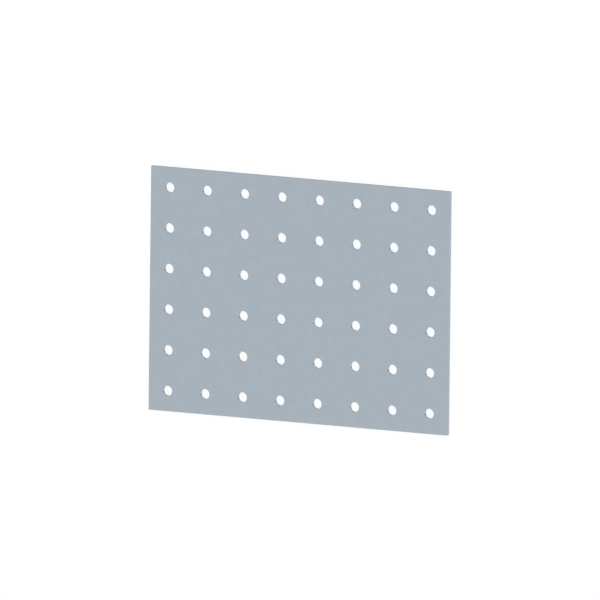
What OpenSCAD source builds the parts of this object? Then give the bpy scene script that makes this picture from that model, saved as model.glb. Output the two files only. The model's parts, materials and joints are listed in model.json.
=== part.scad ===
// Perforated connector plate for timber joints, cut from zinc-coated steel sheet.
// A square raster of round nail holes is punched through it. The outer holes lie half a
// pitch in from the edges, so plates laid edge to edge carry the raster on.
// The plate lies flat: X runs along its length, Y across its width and Z up through the sheet.
// Blade and punch both came down from above, so each cut edge is rolled over on the top face
// and square on the bottom face.

/* [Sheet] */
// Thickness of the sheet
sheet_t = 2; // [1:0.25:4]
// Radius of the four corners, seen from above
corner_r = 0.25; // [0.15:0.05:6]

/* [Nail holes] */
// Number of holes along the length
hole_columns = 8; // [2:1:16]
// Number of holes across the width
hole_rows = 6; // [2:1:12]
// Distance between the centres of neighbouring holes
hole_pitch = 20; // [14:0.5:40]
// Diameter of each hole
hole_d = 5; // [3:0.5:8]
// Distance from the centres of the outer holes to the edge of the plate
edge_distance = 10; // [7:0.5:20]

/* [Rolled edges] */
// Radius rolled over by the blade along the outer edge
edge_roll = 0.1; // [0.05:0.05:0.4]
// Radius rolled over by the punch round the mouth of each hole
hole_roll = 0.1; // [0.05:0.05:0.4]

/* [Hidden] */
$fn = 48;

// The holes and the edge distance set the size of the plate
plate_l = (hole_columns - 1) * hole_pitch + 2 * edge_distance;
plate_w = (hole_rows - 1) * hole_pitch + 2 * edge_distance;

// The plate inside its four rounded corners
core_l = plate_l - 2 * corner_r;
core_w = plate_w - 2 * corner_r;

// The roll follows the outline round the corners, so it is no wider than their radius
rim_roll = min(edge_roll, corner_r);

// How far a cutter reaches past the face that it cuts
overcut = 1;

// Section of the rim, as wide as the corner radius, with its outer top edge rolled over.
// The origin is at its inner foot.
module rim_section() {
    difference() {
        square([corner_r, sheet_t]);
        translate([corner_r - rim_roll, sheet_t - rim_roll])
            difference() {
                square(rim_roll + overcut);
                circle(r = rim_roll);
            }
    }
}

// A straight stretch of the rim along X, with its outer side towards -Y
module straight_rim(length) {
    rotate([90, 0, -90])
        linear_extrude(length, center = true)
            rim_section();
}

// A quarter turn of the rim round a corner of the plate
module corner_rim() {
    rotate_extrude(angle = 90)
        rim_section();
}

// The cut sheet before punching: a flat core inside a rim that follows the outline
module blank() {
    translate([-core_l / 2, -core_w / 2, 0])
        cube([core_l, core_w, sheet_t]);
    for (side = [0, 180]) {
        rotate(side) translate([0, -core_w / 2, 0]) straight_rim(core_l);
        rotate(side + 90) translate([0, -core_l / 2, 0]) straight_rim(core_w);
    }
    for (side = [0, 1], end = [0, 1])
        mirror([end, 0, 0])
            mirror([0, side, 0])
                translate([core_l / 2, core_w / 2, 0])
                    corner_rim();
}

// The metal that one punch stroke takes out: a straight bore that flares at the rolled mouth
module punched_hole() {
    hole_r = hole_d / 2;
    translate([0, 0, -overcut])
        cylinder(r = hole_r, h = sheet_t + 2 * overcut);
    rotate_extrude()
        difference() {
            translate([0, sheet_t - hole_roll])
                square([hole_r + hole_roll, hole_roll + overcut]);
            translate([hole_r + hole_roll, sheet_t - hole_roll])
                circle(r = hole_roll);
        }
}

// The raster of holes, centred on the plate
module hole_raster() {
    for (column = [0 : hole_columns - 1], row = [0 : hole_rows - 1])
        translate([
            edge_distance + column * hole_pitch - plate_l / 2,
            edge_distance + row * hole_pitch - plate_w / 2,
            0
        ])
            children();
}

module plate() {
    color([0.66, 0.70, 0.73])
        difference() {
            blank();
            hole_raster() punched_hole();
        }
}

plate();
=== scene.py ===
# %% [markdown]
# A connector plate of zinc-coated steel
#
# This lesson dresses a flat perforated plate, the kind that carpenters nail over the joint between two
# timbers. The plate is one piece: a rectangle sheared from coated sheet, with a raster of punched nail
# holes. So the whole look depends on a few surfaces: the zinc skin, the sheared outer edge and the walls
# of the punched holes. We load the plate's solid as a frame, remake its skin as a clean mesh with those
# surfaces, and then light it softly on a white floor.

# %% Load the frame
import json
import math

import bmesh
import bpy
from mathutils import Euler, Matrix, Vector, noise


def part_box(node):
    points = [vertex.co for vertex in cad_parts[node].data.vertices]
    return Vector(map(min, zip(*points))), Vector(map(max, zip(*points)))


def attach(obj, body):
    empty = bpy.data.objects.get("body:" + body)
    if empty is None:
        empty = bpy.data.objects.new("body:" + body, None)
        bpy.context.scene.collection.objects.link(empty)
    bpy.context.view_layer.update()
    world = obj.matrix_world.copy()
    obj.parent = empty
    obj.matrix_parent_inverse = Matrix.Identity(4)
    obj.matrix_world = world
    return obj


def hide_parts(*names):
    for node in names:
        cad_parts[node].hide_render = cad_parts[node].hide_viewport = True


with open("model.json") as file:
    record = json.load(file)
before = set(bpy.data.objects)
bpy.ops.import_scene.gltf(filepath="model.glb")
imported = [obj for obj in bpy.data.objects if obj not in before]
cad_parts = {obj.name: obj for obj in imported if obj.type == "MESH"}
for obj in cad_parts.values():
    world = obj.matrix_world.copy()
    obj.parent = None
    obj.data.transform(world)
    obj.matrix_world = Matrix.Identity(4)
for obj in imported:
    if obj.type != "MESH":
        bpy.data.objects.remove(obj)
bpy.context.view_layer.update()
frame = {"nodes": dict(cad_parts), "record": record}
print("frame nodes:", sorted(frame["nodes"]))

# %% [markdown]
# Sizes come from the frame
#
# The plate's sizes could be typed in again here, but then they could drift away from the solid. So they
# are read from it. The node's box gives the length, the width and the thickness of the sheet. The record
# states two columns of nail holes, so their radius, their pitch and their distance from the edge can be
# read there. The straight wall of a hole is shorter than the sheet is thick, and the difference is the
# height of the rolled-over mouth that the punch leaves.

# %% Read the sizes
MM = 0.001
low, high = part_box("plate")
plate_l, plate_w, sheet_t = high - low
mounts = {mount["name"]: mount for mount in frame["record"]["mounts"]}
corner_hole = mounts["nail_hole_left_1"]
next_hole = mounts["nail_hole_left_2"]
hole_r = corner_hole["dims"]["r_mm"] * MM
roll_r = sheet_t - corner_hole["dims"]["length_mm"] * MM
pitch = next_hole["pos_m"][1] - corner_hole["pos_m"][1]
edge_distance = corner_hole["pos_m"][0] - low.x
columns = round((plate_l - 2 * edge_distance) / pitch) + 1
rows = round((plate_w - 2 * edge_distance) / pitch) + 1
print(f"plate {plate_l / MM:.1f} x {plate_w / MM:.1f} x {sheet_t / MM:.1f} mm")
print(f"{columns} x {rows} holes of {2 * hole_r / MM:.1f} mm, rolled {roll_r / MM:.2f} mm at the mouth")

# %% [markdown]
# The camera
#
# In the photograph, edges that are parallel on the plate stay exactly parallel in the picture. A long lens
# far away comes close to that, but only an orthographic camera draws it exactly, so we take one. The three
# angles say how it turns from looking straight down with the plate's length across the picture: it leans
# over the right end and a little over the far side. The scale is the width that fits in the frame, and the
# distance only has to clear the plate.

# %% Place the camera
VIEW_TILT = Euler((math.radians(-9.226), math.radians(24.985), math.radians(0.677)))
CAMERA_DISTANCE = 1.0
FRAME_WIDTH = 0.29107
AIM_RIGHT = -0.055 * MM
AIM_UP = 0.195 * MM

turn = VIEW_TILT.to_matrix()
aim = (low + high) / 2 + turn @ Vector((AIM_RIGHT, AIM_UP, 0))
camera_data = bpy.data.cameras.new("camera")
camera_data.type = "ORTHO"
camera_data.ortho_scale = FRAME_WIDTH
camera = bpy.data.objects.new("camera", camera_data)
camera.location = aim + turn @ Vector((0, 0, CAMERA_DISTANCE))
camera.rotation_euler = VIEW_TILT
bpy.context.scene.collection.objects.link(camera)
bpy.context.scene.camera = camera
print(f"the frame is {FRAME_WIDTH / MM:.1f} mm wide")

# %% [markdown]
# What a punch leaves behind
#
# A punch first pulls the skin of the sheet down, so the mouth of the hole is rounded. Then it shears a
# smooth, shiny band. Then the rest of the sheet breaks, and the broken band is rough and a little wider
# than the punch. A guillotine leaves the same bands along the outer edge. We could model a straight wall
# and paint the bands on it, but from the side they would look flat. So the bands are real shape, and one
# list of section points describes them: how far a point lies behind the cut, how high it is and which
# finish starts there. Noise moves the line where the break starts, as on real sheet.

# %% Section of a cut
ZINC, EDGE_BAND, EDGE_BREAK, HOLE_BAND, HOLE_BREAK = range(5)
QUARTER_TURN = math.radians(90)
ROLL_STEPS = 4
BAND_DEPTH = 0.6 * MM
BAND_WANDER = 0.12 * MM
BAND_LUMPS = 1.5 * MM
BREAK_STEPS = 4
BREAK_SLANT = 0.015 * MM
BREAK_RELIEF = 0.015 * MM
BREAK_LUMPS = 0.7 * MM
FOOT_BEVEL = 0.01 * MM


def wander(place, lumps):
    """A smooth value from about -1 to 1 that depends only on the place. lumps is the size of its waves."""
    return noise.noise(Vector(place) / lumps)


def cut_section(place, band, broken):
    """Points down a cut at a place on the sheet: (setback from the cut, height, finish below the point)."""
    points = []
    for step in range(ROLL_STEPS):
        angle = QUARTER_TURN * step / ROLL_STEPS
        points.append((roll_r * (1 - math.sin(angle)), sheet_t - roll_r * (1 - math.cos(angle)), ZINC))
    points.append((0, sheet_t - roll_r, band))
    start = sheet_t - roll_r - BAND_DEPTH + BAND_WANDER * wander((*place, 0), BAND_LUMPS)
    points.append((0, start, broken))
    for step in range(1, BREAK_STEPS + 1):
        down = step / BREAK_STEPS
        height = start + (FOOT_BEVEL - start) * down
        bump = (1 + wander((*place, height), BREAK_LUMPS)) / 2
        points.append((BREAK_SLANT * down + BREAK_RELIEF * bump, height, broken))
    points.append((BREAK_SLANT + BREAK_RELIEF + FOOT_BEVEL, 0, ZINC))
    return points


print("points down a cut:", len(cut_section((0, 0), HOLE_BAND, HOLE_BREAK)))

# %% [markdown]
# Scoring and painted shade in the holes
#
# A worn spot on the punch scored the same side of every hole. The walls are also painted darker there, as a
# dark line of painted shade along the score, and as a broader painted shade on the -Y side of each hole. A
# strip of dark faces would show both, but with hard borders. So every point of the mesh will carry a
# number, its painted shade. It is highest in the middle of the scored side, lower on the -Y side and fades
# to 0 beside them. The rough break holds more of it than the smooth band, and the zinc holds none. The
# scoring also sinks the wall a little.

# %% Score and painted shade round a hole
# The score's middle and reach also set a dark line of painted shade along it.
SCORE_AND_SHADE_AT = math.radians(197)
SCORE_AND_SHADE_REACH = math.radians(18)
SCORE_DEPTH = 0.03 * MM
# A broad painted shade on the wall at the -Y side of each hole.
SIDE_SHADE_AT = math.radians(275)
SIDE_SHADE_REACH = math.radians(58)
SIDE_SHADE_SHARE = 0.75
# How strongly each finish takes the painted shade and the score's depth.
SCORE_AND_SHADE_SHARE = {ZINC: 0, HOLE_BAND: 0.6, HOLE_BREAK: 1}


def fade(angle, middle, reach):
    """1 at the middle angle, and evenly less on both sides down to 0 at the reach."""
    return max(0, 1 - abs(angle - middle) / reach)


def hole_score_and_shade(angle):
    """(scoring, painted shade) of the hole wall at an angle, both from 0 to 1."""
    score = fade(angle, SCORE_AND_SHADE_AT, SCORE_AND_SHADE_REACH)
    return score, max(score, SIDE_SHADE_SHARE * fade(angle, SIDE_SHADE_AT, SIDE_SHADE_REACH))


# The painted shade on the scored side and on the -Y side.
print("grime on the scored side and in the film:", hole_score_and_shade(SCORE_AND_SHADE_AT)[1], hole_score_and_shade(SIDE_SHADE_AT)[1])

# %% [markdown]
# One cell of the raster
#
# The holes stand on a square raster, so the plate is a pattern of equal square cells with a hole in the
# middle of each. Cutting cylinders out of a slab would be shorter to write, but it leaves long thin
# triangles that shade badly. So each cell is meshed with four-sided faces: spokes run from the border of
# the square to the hole, down its wall and back out under the sheet. The number of spokes is a multiple of
# eight, so that one spoke always meets each corner of the square.

# %% Points along a spoke
SPOKES = 64
LAND = 0.8 * MM
HALFWAY = 0.5
half_cell = pitch / 2
spoke_step = math.tau / SPOKES


def cell_spoke(centre, angle):
    """(place, finish, painted shade) of the points along one spoke, from the top border to the bottom
    border.
    """
    outward = Vector((math.cos(angle), math.sin(angle)))
    border = centre + outward * (half_cell / max(abs(outward.x), abs(outward.y)))
    land = centre + outward * (hole_r + roll_r + LAND)
    flat = [border, border.lerp(land, HALFWAY), land]
    score, painted_shade = hole_score_and_shade(angle)
    points = [((*spot, sheet_t), ZINC, 0) for spot in flat]
    for setback, height, finish in cut_section(centre + outward * hole_r, HOLE_BAND, HOLE_BREAK):
        share = SCORE_AND_SHADE_SHARE[finish]
        spot = centre + outward * (hole_r + setback + SCORE_DEPTH * score * share)
        points.append(((*spot, height), finish, painted_shade * share))
    points += [((*spot, 0), ZINC, 0) for spot in reversed(flat)]
    return points


print("points along a spoke:", len(cell_spoke(Vector((0, 0)), 0)))

# %% [markdown]
# Cells into a sheet
#
# Punching repeats one stroke over the whole sheet. An array modifier could repeat one cell in the same
# way, but then every hole would break along exactly the same line. So each cell is built in its own place,
# where the noise differs. Faces bridge each spoke to the next one. Neighbouring cells share their border
# points, and merging those joins all cells into one sheet.

# %% Join the cells
MERGE_DISTANCE = 0.001 * MM
plate_mesh = bmesh.new()
# Each point carries the painted shade of the hole walls in this layer.
painted_shade_layer = plate_mesh.verts.layers.float.new("painted_shade")


def bridge(strips):
    """Faces from each strip of points to the next, all the way round, in the finish that a point starts."""
    for here, there in zip(strips, strips[1:] + strips[:1]):
        for step in range(len(here) - 1):
            corners = [here[step][0], here[step + 1][0], there[step + 1][0], there[step][0]]
            plate_mesh.faces.new(corners).material_index = here[step][1]


def add_cell(centre):
    """One cell of the sheet, with a hole in its centre."""
    strips = []
    for spoke in range(SPOKES):
        strip = []
        for place, finish, painted_shade in cell_spoke(centre, spoke * spoke_step):
            vert = plate_mesh.verts.new(place)
            vert[painted_shade_layer] = painted_shade
            strip.append((vert, finish))
        strips.append(strip)
    bridge(strips)


for column in range(columns):
    for row in range(rows):
        add_cell(Vector((low.x + edge_distance + column * pitch, low.y + edge_distance + row * pitch)))
bmesh.ops.remove_doubles(plate_mesh, verts=plate_mesh.verts, dist=MERGE_DISTANCE)
print("faces in the cells:", len(plate_mesh.faces))

# %% [markdown]
# The sheared outline
#
# The merged cells still have an open border all round, and a real plate has its sheared edge there. A
# bevel modifier could round it, but it knows nothing of bands and breaks. So the section of a cut will be
# carried along the border, from point to point. Each point becomes a station: a foot on the flat core of
# the plate, and a direction that points out of the sheet, square to the side.

# %% Stations along the sides
CORNER_R = 0.25 * MM
SIDES = 4
EIGHTH_TURN = QUARTER_TURN / 2


def side_stations(start, end, cells):
    """(border point, foot, direction) of the stations on a side, with its first corner but not its last."""
    along = (end - start).normalized()
    outward = Vector((along.y, -along.x))
    step = (end - start) / cells
    passed = []
    for cell in range(cells):
        for spoke in range(SPOKES // SIDES):
            angle = spoke * spoke_step - EIGHTH_TURN
            point = start + step * (cell + (1 + math.tan(angle)) / 2)
            passed.append((point, point - outward * CORNER_R, outward))
    return passed


plate_corners = [
    Vector((low.x, low.y)),
    Vector((high.x, low.y)),
    Vector((high.x, high.y)),
    Vector((low.x, high.y)),
]
stations = []
first_of_side = []
for side, corner in enumerate(plate_corners):
    first_of_side.append(len(stations))
    cells_along = columns if side % 2 == 0 else rows
    stations += side_stations(corner, plate_corners[(side + 1) % SIDES], cells_along)
print("stations round the outline:", len(stations))

# %% [markdown]
# Rounded corners
#
# Two strokes of the blade meet at each corner, and handling soon takes off the point. The sides could
# simply be mitred there, but no real sheet is that sharp, and a rounded corner catches a line of light. So
# the station at the corner and the two on each side of it get one foot in common, and their directions fan
# out over a quarter circle.

# %% Fan out at the corners
FAN = 2
FIRST_CORNER = math.radians(225)


def round_corner(corner, first, middle):
    """Fans the stations at a corner out from one foot. first is its station, and middle its direction."""
    inset = Vector((math.copysign(CORNER_R, corner.x), math.copysign(CORNER_R, corner.y)))
    for step in range(-FAN, FAN + 1):
        angle = middle + EIGHTH_TURN * step / FAN
        station = (first + step) % len(stations)
        border = stations[station][0]
        stations[station] = (border, corner - inset, Vector((math.cos(angle), math.sin(angle))))


for side, corner in enumerate(plate_corners):
    round_corner(corner, first_of_side[side], FIRST_CORNER + QUARTER_TURN * side)
print("stations that fan out at each corner:", 2 * FAN + 1)

# %% [markdown]
# Closing the edge
#
# The edge and the two faces are one piece of metal, so they must meet without a gap. A separate edge strip
# could simply be laid against the faces, but a seam would show in the light. So the section at each station
# starts and ends in a border point that the cells already have, moved back to where the roll or the bevel
# begins. The border points are found again by their place, rounded to whole steps.

# %% Close the outline
KEY_STEP = 0.01 * MM


def border_key(x, y, z):
    """A place in whole steps, to find a point of the mesh again."""
    return tuple(round(value / KEY_STEP) for value in (x, y, z))


def edge_strip(border, foot, outward):
    """(point, finish) of the points down the edge at one station."""
    section = cut_section(foot + outward * CORNER_R, EDGE_BAND, EDGE_BREAK)
    strip = []
    for step, (setback, height, finish) in enumerate(section):
        place = (*(foot + outward * (CORNER_R - setback)), height)
        if step in (0, len(section) - 1):
            vert = found[border_key(*border, height)]
            vert.co = place
        else:
            vert = plate_mesh.verts.new(place)
        strip.append((vert, finish))
    return strip


found = {border_key(*vert.co): vert for vert in plate_mesh.verts if vert.is_boundary}
bridge([edge_strip(*station) for station in stations])
open_edges = [edge for edge in plate_mesh.edges if not edge.is_manifold]
print("border points:", len(found), "open edges left:", len(open_edges))

# %% [markdown]
# From mesh to piece
#
# The flat faces must shade flat and the rolled mouths must shade round. Flat shading would facet the holes,
# and plain smooth shading would bend the light near them. Smooth shading with normals that are weighted by
# face size does both: a large flat face keeps its own normal, and the narrow strips of a roll blend into
# it. Edges where the metal really breaks are marked sharp. The finished skin stands for the solid and rides
# on the same body.

# %% Make the piece
SHARP_ANGLE = math.radians(40)
bmesh.ops.recalc_face_normals(plate_mesh, faces=plate_mesh.faces)
for face in plate_mesh.faces:
    face.smooth = True
for edge in plate_mesh.edges:
    edge.smooth = edge.calc_face_angle(0) < SHARP_ANGLE
mesh = bpy.data.meshes.new("perforated_sheet")
plate_mesh.to_mesh(mesh)
plate_mesh.free()
sheet = bpy.data.objects.new("perforated_sheet", mesh)
bpy.context.scene.collection.objects.link(sheet)
weighted = sheet.modifiers.new("flat faces stay flat", "WEIGHTED_NORMAL")
weighted.keep_sharp = True
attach(sheet, "root")
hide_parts("plate")
print("skin:", len(mesh.vertices), "points,", len(mesh.polygons), "faces")

# %% [markdown]
# Helpers for shader groups
#
# A shader node group is a small machine with named inputs and outputs. The same nodes could be copied into
# every material, but then a change would have to be made many times. So each effect is built once as a
# group and placed in every finish that needs it, with its own values. These helpers keep the later cells
# short: they add a node with its values and links, and make an empty group.

# %% Group helpers


def add_node(tree, kind, inputs, **settings):
    """A new node. inputs go by socket name or number, and hold values or the outputs of other nodes."""
    node = tree.nodes.new(kind)
    for name, value in settings.items():
        setattr(node, name, value)
    for socket, value in inputs.items():
        if isinstance(value, bpy.types.NodeSocket):
            tree.links.new(value, node.inputs[socket])
        else:
            node.inputs[socket].default_value = value
    return node


def math_node(tree, operation, first, second):
    """The result of a math node."""
    return add_node(tree, "ShaderNodeMath", {0: first, 1: second}, operation=operation).outputs[0]


def vector_node(tree, operation, first, second):
    """The result of a vector math node."""
    return add_node(tree, "ShaderNodeVectorMath", {0: first, 1: second}, operation=operation).outputs[0]


def noise_node(tree, place, scale, detail):
    """A noise texture at a place. detail says how many finer layers it has."""
    return add_node(tree, "ShaderNodeTexNoise", {"Vector": place, "Scale": scale, "Detail": detail})


def place_on_piece(tree):
    """The place of a point in the piece's own frame, in metres, so that a pattern has a real size."""
    return add_node(tree, "ShaderNodeTexCoord", {}).outputs["Object"]


def new_group(name, socket, kind, value, outputs):
    """A shader group with one input and some number outputs: its tree, its input and its output node."""
    tree = bpy.data.node_groups.new(name, "ShaderNodeTree")
    tree.interface.new_socket(socket, in_out="INPUT", socket_type=kind).default_value = value
    for output in outputs:
        tree.interface.new_socket(output, in_out="OUTPUT", socket_type="NodeSocketFloat")
    print("group:", name)
    return tree, tree.nodes.new("NodeGroupInput").outputs[socket], tree.nodes.new("NodeGroupOutput")


print("helpers for nodes and groups are ready")

# %% [markdown]
# Zinc crystals
#
# Molten zinc freezes into flat crystals, and each of them reflects a little differently. Today's sheet is
# cooled fast and rolled lightly, so the crystals are small and faint. A painted picture of them would show
# its pixels and repeat, but a Voronoi texture gives crystals of a real size without end. Its random colour
# serves as three dice for each crystal: one for the tone, one for the gloss and one for the direction of
# the fine feathers inside. The feathers are noise that is squeezed across that direction.

# %% Group: zinc crystals
CRYSTALS_PER_METRE = 550.0
WARP = 0.8 * MM
WARP_DETAIL = 1.0
FEATHER_SQUEEZE = (1.0, 4.0, 1.0)
FEATHERS_PER_CRYSTAL = 3.0
FEATHER_DETAIL = 3.0
FEATHER_SHARE = 0.6

crystals, per_metre, result = new_group(
    "zinc_crystals", "Crystals per metre", "NodeSocketFloat", CRYSTALS_PER_METRE, ["Tone", "Gloss"]
)
place = place_on_piece(crystals)
ripple = noise_node(crystals, place, per_metre, WARP_DETAIL)
shift = vector_node(crystals, "MULTIPLY", ripple.outputs["Color"], (WARP, WARP, WARP))
bent = vector_node(crystals, "ADD", place, shift)
cells = add_node(crystals, "ShaderNodeTexVoronoi", {"Vector": bent, "Scale": per_metre})
dice = add_node(crystals, "ShaderNodeSeparateColor", {"Color": cells.outputs["Color"]})
angle = math_node(crystals, "MULTIPLY", dice.outputs["Blue"], math.pi)
spin = {"Vector": bent, "Angle": angle}
turned = add_node(crystals, "ShaderNodeVectorRotate", spin, rotation_type="Z_AXIS")
squeezed = vector_node(crystals, "MULTIPLY", turned.outputs[0], FEATHER_SQUEEZE)
finer = math_node(crystals, "MULTIPLY", per_metre, FEATHERS_PER_CRYSTAL)
feathers = noise_node(crystals, squeezed, finer, FEATHER_DETAIL)
feather_tone = math_node(crystals, "MULTIPLY", feathers.outputs["Fac"], FEATHER_SHARE)
crystal_tone = math_node(crystals, "MULTIPLY", dice.outputs["Red"], 1 - FEATHER_SHARE)
tone = math_node(crystals, "ADD", feather_tone, crystal_tone)
crystals.links.new(tone, result.inputs["Tone"])
crystals.links.new(dice.outputs["Green"], result.inputs["Gloss"])

# %% [markdown]
# Drawn lines
#
# Rolls draw faint lines along the sheet, and a punch or a blade draws short lines down the cut. A wave
# texture would make lines too, but evenly spaced ones. Noise that is stretched one way is as irregular as
# the real lines, so one group makes both kinds: its Stretch input says how many lines fit in a metre along
# each axis, and the noise itself needs no further scale.

# %% Group: drawn lines
ROLLED_LINES = (25.0, 1800.0, 1800.0)
UNSCALED = 1.0
LINE_DETAIL = 2.0

lines, stretch, result = new_group("drawn_lines", "Stretch", "NodeSocketVector", ROLLED_LINES, ["Line"])
drawn = vector_node(lines, "MULTIPLY", place_on_piece(lines), stretch)
streak = noise_node(lines, drawn, UNSCALED, LINE_DETAIL)
lines.links.new(streak.outputs["Fac"], result.inputs["Line"])

# %% [markdown]
# Grit
#
# No metal is smooth under a lens. Roughness alone spreads the light evenly, but a fine noise also breaks it
# up, more on broken metal and less on the zinc. The same group puts out a much slower noise, because a
# large surface is never quite the same from end to end.

# %% Group: grit
SKIN_GRAINS = 3500.0
GRAIN_DETAIL = 4.0
CLOUD_SCALE = 0.01
CLOUD_DETAIL = 2.0

grit, grains, result = new_group(
    "grit", "Grains per metre", "NodeSocketFloat", SKIN_GRAINS, ["Grain", "Cloud"]
)
place = place_on_piece(grit)
grain = noise_node(grit, place, grains, GRAIN_DETAIL)
cloud = noise_node(grit, place, math_node(grit, "MULTIPLY", grains, CLOUD_SCALE), CLOUD_DETAIL)
grit.links.new(grain.outputs["Fac"], result.inputs["Grain"])
grit.links.new(cloud.outputs["Fac"], result.inputs["Cloud"])

# %% [markdown]
# Ragged painted shade
#
# The walls of the holes are painted darker, as painted shade, along the score and on the -Y side. The mesh
# already knows where: an attribute node reads the painted shade of its points. On its own that number fades
# evenly, like a soft brush stroke. Multiplied by noise it gets a ragged border, and the group puts out the
# result as a mask. Noise lies around one half, so a gain of two brings the mask back to the strength of the
# number.

# %% Group: painted shade
SHADE_GRAINS = 6000.0
SHADE_DETAIL = 2.0
SHADE_GAIN = 2.0

painted_shade_group, grains, result = new_group(
    "hole_painted_shade", "Grains per metre", "NodeSocketFloat", SHADE_GRAINS, ["Mask"]
)
# This reads the painted shade that darkens the hole walls.
painted = add_node(painted_shade_group, "ShaderNodeAttribute", {}, attribute_name="painted_shade")
grain = noise_node(painted_shade_group, place_on_piece(painted_shade_group), grains, SHADE_DETAIL)
ragged = math_node(painted_shade_group, "MULTIPLY", painted.outputs["Fac"], grain.outputs["Fac"])
painted_shade_group.links.new(math_node(painted_shade_group, "MULTIPLY", ragged, SHADE_GAIN), result.inputs["Mask"])

# %% [markdown]
# A finish from its masks
#
# Every finish here works the same way. A mask between 0 and 1 slides the colour between a dark and a light
# tone of the same metal, another slides the roughness, and a third lifts the surface as bump. The metal
# shader itself is set up once in a helper, so that the next cells only choose masks and values. Clean metal
# turns white at a glancing angle, but zinc and cut steel carry a dull film, so the shader's specular tint,
# which colours that glancing light, is a grey.

# %% Finish helpers


def new_metal(name, glancing):
    """A metal on the sheet: its node tree and its shader. A low glancing value dims it at flat angles."""
    material = bpy.data.materials.new(name)
    material.use_nodes = True
    shader = material.node_tree.nodes["Principled BSDF"]
    shader.inputs["Metallic"].default_value = 1.0
    shader.inputs["Specular Tint"].default_value = (glancing, glancing, glancing, 1)
    sheet.data.materials.append(material)
    print("finish:", name)
    return material.node_tree, shader


def use_group(tree, group, socket, value):
    """A group placed in a material, with its input set."""
    return add_node(tree, "ShaderNodeGroup", {socket: value}, node_tree=group)


def shade(tree, shader, mask, tone, spread):
    """Lets a mask slide the base colour from a darker to a lighter tone."""
    dark = (*(channel * (1 - spread) for channel in tone), 1)
    light = (*(channel * (1 + spread) for channel in tone), 1)
    blend = add_node(tree, "ShaderNodeMix", {"Factor": mask}, data_type="RGBA")
    blend.inputs["A"].default_value = dark
    blend.inputs["B"].default_value = light
    tree.links.new(blend.outputs["Result"], shader.inputs["Base Color"])


def roughen(tree, shader, mask, ends):
    """Lets a mask slide the roughness from a smooth to a rough end."""
    smooth, rough = ends
    slide = add_node(tree, "ShaderNodeMapRange", {"Value": mask, "To Min": smooth, "To Max": rough})
    tree.links.new(slide.outputs[0], shader.inputs["Roughness"])


def lift(tree, shader, height, strength, depth):
    """Bumps the surface by a height mask."""
    bump = add_node(tree, "ShaderNodeBump", {"Height": height, "Strength": strength, "Distance": depth})
    tree.links.new(bump.outputs["Normal"], shader.inputs["Normal"])


print("helpers for finishes are ready")

# %% [markdown]
# The zinc skin
#
# Seen from a step away, the skin is an even, cool grey. One flat colour would look like paint. A strong
# pattern of crystals would look like old buckets. So the crystals and a slow cloudiness move the tone by a
# few per cent, and rolled lines and grit lift the surface by a hair, which the eye only notices up close.

# %% Material: zinc skin
ZINC_TONE = (0.398, 0.451, 0.503)
ZINC_SPREAD = 0.045
ZINC_GLANCING = 0.7
ZINC_ROUGHNESS = (0.40, 0.50)
ZINC_BUMP = 0.15
ZINC_BUMP_DEPTH = 0.01 * MM
CRYSTAL_SHARE = 0.85

tree, shader = new_metal("zinc_skin", ZINC_GLANCING)
spangle = use_group(tree, crystals, "Crystals per metre", CRYSTALS_PER_METRE)
rolled = use_group(tree, lines, "Stretch", ROLLED_LINES)
dust = use_group(tree, grit, "Grains per metre", SKIN_GRAINS)
crystal_part = math_node(tree, "MULTIPLY", spangle.outputs["Tone"], CRYSTAL_SHARE)
cloud_part = math_node(tree, "MULTIPLY", dust.outputs["Cloud"], 1 - CRYSTAL_SHARE)
shade(tree, shader, math_node(tree, "ADD", crystal_part, cloud_part), ZINC_TONE, ZINC_SPREAD)
roughen(tree, shader, spangle.outputs["Gloss"], ZINC_ROUGHNESS)
relief = math_node(tree, "ADD", rolled.outputs["Line"], dust.outputs["Grain"])
lift(tree, shader, relief, ZINC_BUMP, ZINC_BUMP_DEPTH)

# %% [markdown]
# The smooth band of a cut
#
# A blade and a punch polish the upper part of each cut and smear some zinc over it, with fine lines in the
# direction of the stroke. Plain glossy metal would look like a strip of mirror there. So the drawn lines,
# upright this time, shade and lift the band, and grit varies its gloss. A function makes this finish,
# because the outline and the holes need it in different tones.

# %% Finish: smooth band
STROKE_LINES = (5000.0, 5000.0, 250.0)
BAND_GRAINS = 6000.0
BAND_SPREAD = 0.12
BAND_ROUGHNESS = (0.25, 0.45)
BAND_BUMP = 0.2
BAND_BUMP_DEPTH = 0.01 * MM


def smooth_band(name, tone, glancing):
    """The polished upper band of a cut."""
    tree, shader = new_metal(name, glancing)
    stroke = use_group(tree, lines, "Stretch", STROKE_LINES)
    dust = use_group(tree, grit, "Grains per metre", BAND_GRAINS)
    shade(tree, shader, stroke.outputs["Line"], tone, BAND_SPREAD)
    roughen(tree, shader, dust.outputs["Grain"], BAND_ROUGHNESS)
    lift(tree, shader, stroke.outputs["Line"], BAND_BUMP, BAND_BUMP_DEPTH)
    return tree, shader


print(f"smooth band: roughness {BAND_ROUGHNESS[0]} to {BAND_ROUGHNESS[1]}")

# %% [markdown]
# The broken band of a cut
#
# Below the smooth band the steel broke, and its open grains scatter the light. A rougher copy of the smooth
# band would still look drawn by a tool. So the lines stay away here, and grit does all the work: the same
# grains shade, roughen and lift the surface, more strongly than above.

# %% Finish: broken band
BREAK_GRAINS = 9000.0
BREAK_SPREAD = 0.25
BREAK_ROUGHNESS = (0.45, 0.75)
BREAK_BUMP = 0.5
BREAK_BUMP_DEPTH = 0.03 * MM


def broken_band(name, tone, glancing):
    """The broken lower band of a cut."""
    tree, shader = new_metal(name, glancing)
    steel = use_group(tree, grit, "Grains per metre", BREAK_GRAINS)
    shade(tree, shader, steel.outputs["Grain"], tone, BREAK_SPREAD)
    roughen(tree, shader, steel.outputs["Grain"], BREAK_ROUGHNESS)
    lift(tree, shader, steel.outputs["Grain"], BREAK_BUMP, BREAK_BUMP_DEPTH)
    return tree, shader


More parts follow.
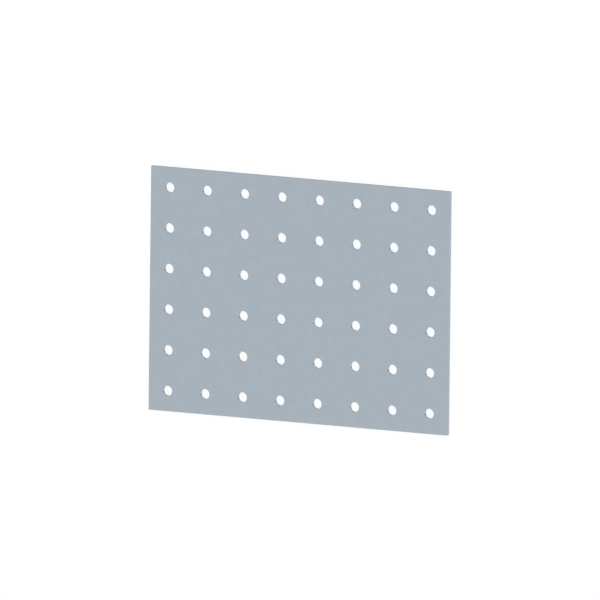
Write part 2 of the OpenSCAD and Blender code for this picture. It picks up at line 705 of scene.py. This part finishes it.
print(f"broken band: roughness {BREAK_ROUGHNESS[0]} to {BREAK_ROUGHNESS[1]}")

# %% [markdown]
# Outline and holes
#
# The outline and the holes were cut in the same way, so one pair of bands could serve both. But the outline
# gets a lighter tone, which is painted light, and its light dies away at flat angles, while the walls of
# the holes get a darker tone, which is painted shade, stay more even and carry the painted shade of the
# scored side. So each place gets a pair with its own tone and glancing light. The finishes are made in the
# order of the numbers that the faces carry.

# %% Materials: cut bands
# The lighter edge tone is painted light, and the darker hole tone is painted shade.
LIT_EDGE_TONE = (0.529, 0.591, 0.653)
EDGE_GLANCING = 0.3
SHADED_HOLE_TONE = (0.480, 0.544, 0.606)
HOLE_GLANCING = 0.7

smooth_band("sheared_band", LIT_EDGE_TONE, EDGE_GLANCING)
broken_band("sheared_break", LIT_EDGE_TONE, EDGE_GLANCING)
hole_finishes = [
    smooth_band("punched_band", SHADED_HOLE_TONE, HOLE_GLANCING),
    broken_band("punched_break", SHADED_HOLE_TONE, HOLE_GLANCING),
]

# %% [markdown]
# Painted shade on the hole walls
#
# The painted shade crosses both bands of a hole. A third material could be laid over them, but a material
# is either there or not, and the painted shade fades. So the colour of each band runs through one more mix
# node, where the mask pulls it towards a dark tone: painted shade on the walls of the holes.

# %% Paint shade on the hole walls
# A dark tone, painted on the hole walls as shade.
PAINTED_SHADE_TONE = (0.229, 0.292, 0.360)

for tree, shader in hole_finishes:
    painted_shade_node = use_group(tree, painted_shade_group, "Grains per metre", SHADE_GRAINS)
    colour = shader.inputs["Base Color"].links[0].from_socket
    parts = {"Factor": painted_shade_node.outputs["Mask"], "A": colour, "B": (*PAINTED_SHADE_TONE, 1)}
    blend = add_node(tree, "ShaderNodeMix", parts, data_type="RGBA")
    tree.links.new(blend.outputs["Result"], shader.inputs["Base Color"])
print("finishes on the sheet:", len(sheet.data.materials))

# %% [markdown]
# The floor
#
# The plate lies on a plain floor. It could lie in the very same plane as the floor, but two faces in one
# plane flicker. So the floor, one large square, lies a hair below the plate. It is part of the stage and
# not of the object.

# %% Floor
FLOOR_SIZE = 8.0
FLOOR_GAP = 0.01 * MM
FLOOR_CORNERS = ((-1, -1), (1, -1), (1, 1), (-1, 1))

reach = FLOOR_SIZE / 2
floor_z = low.z - FLOOR_GAP
floor_mesh = bpy.data.meshes.new("floor")
floor_mesh.from_pydata([(x * reach, y * reach, floor_z) for x, y in FLOOR_CORNERS], [], [(0, 1, 2, 3)])
floor = bpy.data.objects.new("floor", floor_mesh)
bpy.context.scene.collection.objects.link(floor)
print("floor of", FLOOR_SIZE, "m")

# %% [markdown]
# White floor paint
#
# The picture has a plain white ground. Stronger lamps would make the floor white, but they would bleach the
# plate too. So the floor is white paint that shows mostly as plain white to rays from the camera and from
# reflections, and only its small rest of real paint takes the plate's soft shadow. The light path node
# tells the shader which kind of ray is asking. The back of the floor is clear, so that the underside of the
# plate can be looked at from below. The plain white is there to be seen, so it isn't sampled as a lamp.

# %% Material: floor paint
FLOOR_PAINT = 0.95
PLAIN_WHITE = 1.0
PLAIN_WHITE_SHARE = 0.9

paint = bpy.data.materials.new("white_floor")
paint.use_nodes = True
paint.cycles.emission_sampling = "NONE"
tree = paint.node_tree
tree.nodes.clear()
matt = add_node(tree, "ShaderNodeBsdfDiffuse", {"Color": (FLOOR_PAINT, FLOOR_PAINT, FLOOR_PAINT, 1)})
plain = add_node(tree, "ShaderNodeEmission", {"Strength": PLAIN_WHITE})
path = add_node(tree, "ShaderNodeLightPath", {})
seen = math_node(tree, "MAXIMUM", path.outputs["Is Camera Ray"], path.outputs["Is Glossy Ray"])
seen = math_node(tree, "MAXIMUM", seen, path.outputs["Is Transmission Ray"])
whiteness = math_node(tree, "MULTIPLY", seen, PLAIN_WHITE_SHARE)
ground = add_node(tree, "ShaderNodeMixShader", {"Fac": whiteness, 1: matt.outputs[0], 2: plain.outputs[0]})
clear = add_node(tree, "ShaderNodeBsdfTransparent", {})
back = add_node(tree, "ShaderNodeNewGeometry", {}).outputs["Backfacing"]
one_sided = add_node(tree, "ShaderNodeMixShader", {"Fac": back, 1: ground.outputs[0], 2: clear.outputs[0]})
add_node(tree, "ShaderNodeOutputMaterial", {"Surface": one_sided.outputs[0]})
floor_mesh.materials.append(paint)
print("floor finish:", paint.name)

# %% [markdown]
# White room
#
# Bare metal has hardly any colour of its own: it shows what stands around it. A picture of a real studio
# could stand there, but its windows and walls would draw patterns on the plate. So the room is simply
# white, like a light tent, and the metal shows its own tone. Rays find an even room anyway, so it needs no
# sampling of its own. The view transform is the standard one, which shows colours as they are written.

# %% Room
ROOM_COLOUR = (1, 1, 1, 1)

room = bpy.data.worlds.new("room")
room.use_nodes = True
room.cycles.sampling_method = "NONE"
room.node_tree.nodes["Background"].inputs["Color"].default_value = ROOM_COLOUR
bpy.context.scene.world = room
bpy.context.scene.view_settings.view_transform = "Standard"
print("world:", room.name)

# %% [markdown]
# Soft lamps
#
# The room alone would light every wall the same, so two panels give the light a direction: the key over the
# right end of the plate, and a weaker fill over its near side. Small lamps would throw hard shadows and
# show as white spots in the metal. Large panels spread the same power so far that they are dimmer than the
# room itself, and the zinc keeps its grey even where it mirrors them.

# %% Lamps
KEY_PLACE = Vector((3.0, 1.8, 2.0))
KEY_SIZE = 3.5
KEY_POWER = 28.0
FILL_PLACE = Vector((0.5, -3.2, 2.2))
FILL_SIZE = 2.5
FILL_POWER = 12.0


def panel(name, place, size, power):
    """A square lamp that faces the plate."""
    lamp_data = bpy.data.lights.new(name, "AREA")
    lamp_data.size = size
    lamp_data.energy = power
    lamp = bpy.data.objects.new(name, lamp_data)
    lamp.location = place
    lamp.rotation_euler = (-place).to_track_quat("-Z", "Y").to_euler()
    bpy.context.scene.collection.objects.link(lamp)
    print(f"{name}: {power} W, {place.length:.1f} m away")


panel("key_panel", KEY_PLACE, KEY_SIZE, KEY_POWER)
panel("fill_panel", FILL_PLACE, FILL_SIZE, FILL_POWER)
